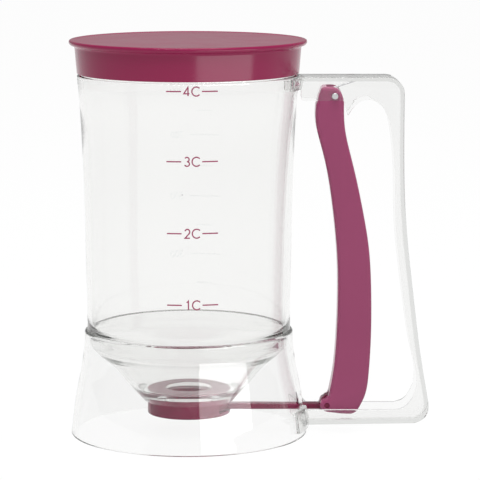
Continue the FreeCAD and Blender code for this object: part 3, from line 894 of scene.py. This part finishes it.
# simple stroke figures on a cell of height 1
GLYPH = {
    "0": (0.62, [arc(0.31, 0.5, 0.27, 0.5, 90, 450, 30)]),
    "1": (0.34, [[(0.02, 0.78), (0.2, 1.0), (0.2, 0.0)]]),
    "2": (0.6, [arc(0.3, 0.7, 0.26, 0.3, 165, -38, 14) + [(0.04, 0.0), (0.58, 0.0)]]),
    "3": (
        0.6,
        [
            arc(0.28, 0.75, 0.24, 0.25, 150, -90, 14),
            arc(0.28, 0.26, 0.28, 0.26, 90, -155, 16),
        ],
    ),
    "4": (0.66, [[(0.48, 0.0), (0.48, 1.0), (0.02, 0.26), (0.64, 0.26)]]),
    "5": (0.58, [[(0.52, 1.0), (0.14, 1.0), (0.07, 0.56)] + arc(0.27, 0.32, 0.27, 0.32, 115, -150, 16)]),
    "6": (0.6, [[(0.42, 1.0), (0.08, 0.46)], arc(0.3, 0.31, 0.27, 0.31, 0, 360, 26)]),
    "7": (0.56, [[(0.02, 1.0), (0.54, 1.0), (0.16, 0.0)]]),
    "8": (0.58, [arc(0.29, 0.76, 0.22, 0.24, 0, 360, 22), arc(0.29, 0.26, 0.27, 0.26, 0, 360, 24)]),
    "9": (0.6, [[(0.18, 0.0), (0.52, 0.54)], arc(0.3, 0.69, 0.27, 0.31, 0, 360, 26)]),
    "C": (0.86, [arc(0.5, 0.5, 0.48, 0.5, 42, 318, 26)]),
}


def barrel_radius(z):
    zs = [p[1] for p in BARREL]
    rs = [p[0] for p in BARREL]
    return float(np.interp(z, [50.0] + zs, [48.0] + rs))


def strokes(name, lines, width, low, high, side):
    """Ribbons wrapped on the barrel.  lines hold (x, z) points seen from the
    front; side -1 lies on the front, +1 on the back.  low/high: height off the wall."""
    verts, faces = [], []
    for line in lines:
        dense = []
        for (x0, z0), (x1, z1) in zip(line[:-1], line[1:]):
            k = max(1, int(math.hypot(x1 - x0, z1 - z0) / 0.6))
            for j in range(k):
                dense.append((x0 + (x1 - x0) * j / k, z0 + (z1 - z0) * j / k))
        dense.append(line[-1])
        p = np.array(dense, float)
        closed = np.linalg.norm(p[0] - p[-1]) < 1e-6
        if closed:
            p = p[:-1]
        n = len(p)
        rows = []
        for i in range(n):
            a = p[i - 1] if (i > 0 or closed) else p[i]
            b = p[(i + 1) % n] if (i < n - 1 or closed) else p[i]
            d1 = p[i] - a
            d2 = b - p[i]
            if np.linalg.norm(d1) < 1e-9:
                d1 = d2
            if np.linalg.norm(d2) < 1e-9:
                d2 = d1
            d1 = d1 / np.linalg.norm(d1)
            d2 = d2 / np.linalg.norm(d2)
            t = d1 + d2
            if np.linalg.norm(t) < 1e-6:
                t = d1
            t = t / np.linalg.norm(t)
            nrm = np.array([-t[1], t[0]])
            m = width / 2 / max(0.45, float(np.dot(nrm, np.array([-d1[1], d1[0]]))))
            rows.append((p[i] + nrm * m, p[i] - nrm * m))
        base = len(verts)
        for left, right in rows:
            for q, h in ((left, low), (left, high), (right, high), (right, low)):
                r = barrel_radius(q[1]) + h
                x = max(-r * 0.9, min(r * 0.9, q[0]))
                a = math.asin(x / barrel_radius(q[1]))
                verts.append((r * math.sin(a) * MM, side * r * math.cos(a) * MM, q[1] * MM))
        count = n if closed else n - 1
        for i in range(count):
            u, v = base + i * 4, base + ((i + 1) % n) * 4
            for c in range(4):
                d = (c + 1) % 4
                faces.append((u + c, u + d, v + d, v + c))
        if not closed:
            faces.append((base, base + 1, base + 2, base + 3))
            e = base + (n - 1) * 4
            faces.append((e + 3, e + 2, e + 1, e))
    mesh = bpy.data.meshes.new(name)
    mesh.from_pydata(verts, [], faces)
    obj = link(name, mesh)
    tidy(obj, 40)
    return obj


def text_lines(text, x, z, height, gap, mirror=False):
    out = []
    at = x
    for ch in text:
        width, lines = GLYPH[ch]
        for line in lines:
            pts = []
            for u, v in line:
                xx = at + (u * height if not mirror else -u * height)
                pts.append((xx, z + (v - 0.5) * height))
            out.append(pts)
        at += (width * height + gap) * (-1 if mirror else 1)
    return out


marks = []
for n, z in ((4, 166.7), (3, 134.8), (2, 101.9), (1, 68.9)):
    marks.append([(-8.9, z), (-2.2, z)])
    marks.append([(7.2, z), (14.3, z)])
    first = {4: -1.0, 3: -0.8, 2: -0.8, 1: 0.0}[n]
    marks += text_lines(str(n), first, z, 4.1, 0.6)
    marks += text_lines("C", 2.6, z, 4.1, 0.6)
cup_marks = strokes("cup_marks", marks, 0.6, 0.015, 0.075, -1)
dress(cup_marks, M_INK, "root")

relief = []
for i, z in enumerate((49.5, 63.7, 77.9, 92.4, 106.8, 120.9, 134.9, 149.0, 163.1)):
    hundred = i + 1
    if i == 0:
        continue
    if hundred % 2:
        relief.append([(-0.1, z), (14.5, z)])
        relief += text_lines(str(hundred * 100), -3.6, z, 2.9, 0.45, mirror=True)
    else:
        relief.append([(3.0, z), (10.7, z)])
back_marks = strokes("volume_relief", relief, 0.55, 0.01, 0.32, 1)
dress(back_marks, M_RELIEF, "root", slot="clear_vessel", clear=True)

# -------------------------------------------------------------- the studio
floor_mesh = bpy.data.meshes.new("floor")
size = 12.0
floor_mesh.from_pydata(
    [(-size, -size, -0.0001), (size, -size, -0.0001), (size, size, -0.0001), (-size, size, -0.0001)], [], [(0, 1, 2, 3)]
)
floor = link("floor", floor_mesh)
fm = bpy.data.materials.new("floor_white")
fm.use_nodes = True
nt = fm.node_tree
b = nt.nodes["Principled BSDF"]
b.inputs["Base Color"].default_value = (0.03, 0.03, 0.03, 1)
b.inputs["Roughness"].default_value = 0.6
b.inputs["Specular IOR Level"].default_value = 0.0
b.inputs["Emission Color"].default_value = (1, 1, 1, 1)
b.inputs["Emission Strength"].default_value = 0.965
floor.data.materials.append(fm)

world = bpy.data.worlds.new("studio")
scene.world = world
world.use_nodes = True
wn = world.node_tree
bg = wn.nodes["Background"]
bg.inputs["Color"].default_value = (1, 1, 1, 1)
path = wn.nodes.new("ShaderNodeLightPath")
add = wn.nodes.new("ShaderNodeMath")
add.operation = "MAXIMUM"
wn.links.new(path.outputs["Is Camera Ray"], add.inputs[0])
wn.links.new(path.outputs["Is Transmission Ray"], add.inputs[1])
mix = wn.nodes.new("ShaderNodeMapRange")
mix.inputs["To Min"].default_value = 0.34
mix.inputs["To Max"].default_value = 1.0
first = wn.nodes.new("ShaderNodeMath")
first.operation = "LESS_THAN"
first.inputs[1].default_value = 0.5
wn.links.new(path.outputs["Diffuse Depth"], first.inputs[0])
direct = wn.nodes.new("ShaderNodeMath")
direct.operation = "MULTIPLY"
wn.links.new(add.outputs[0], direct.inputs[0])
wn.links.new(first.outputs[0], direct.inputs[1])
wn.links.new(direct.outputs[0], mix.inputs["Value"])
wn.links.new(mix.outputs["Result"], bg.inputs["Strength"])


def softbox(name, azimuth, elevation, distance, width, height, radiance, target=(0.02, 0, 0.09)):
    """Area light; azimuth is measured from the camera's side towards +X."""
    data = bpy.data.lights.new(name, "AREA")
    data.shape = "RECTANGLE"
    data.size = width
    data.size_y = height
    data.energy = radiance * math.pi * width * height
    obj = bpy.data.objects.new(name, data)
    a, e = math.radians(azimuth), math.radians(elevation)
    t = Vector(target)
    back = Vector((math.sin(a) * math.cos(e), -math.cos(a) * math.cos(e), math.sin(e)))
    obj.location = t + back * distance
    obj.rotation_mode = "QUATERNION"
    obj.rotation_quaternion = back.to_track_quat("Z", "Y")
    obj.visible_transmission = False
    scene.collection.objects.link(obj)
    return obj


key = softbox("key_right", 38, 14, 1.5, 1.55, 1.6, 8.0)
key.visible_diffuse = False
veiled = bpy.data.collections.new("lit_by_key_right")
veiled.objects.link(skirt)
veiled.objects.link(vessel)
key.light_linking.receiver_collection = veiled
fill = softbox("fill_right", 38, 14, 1.5, 1.55, 1.6, 1.0)
fill.visible_glossy = False
softbox("top", 0, 80, 1.6, 1.4, 1.4, 6.0)
near = softbox("low_right", 38, 0, 0.44, 0.485, 0.165, 3.1, (0.0, 0.0, 0.09))
near.visible_diffuse = False
near.visible_camera = False
lit = bpy.data.collections.new("lit_by_low_right")
lit.objects.link(lid)
near.light_linking.receiver_collection = lit


scene.view_settings.view_transform = "Standard"
scene.view_settings.look = "None"
scene.cycles.max_bounces = 48
scene.cycles.transmission_bounces = 40
scene.cycles.glossy_bounces = 40
scene.cycles.transparent_max_bounces = 16
scene.cycles.diffuse_bounces = 4
scene.cycles.caustics_reflective = True
scene.cycles.caustics_refractive = True
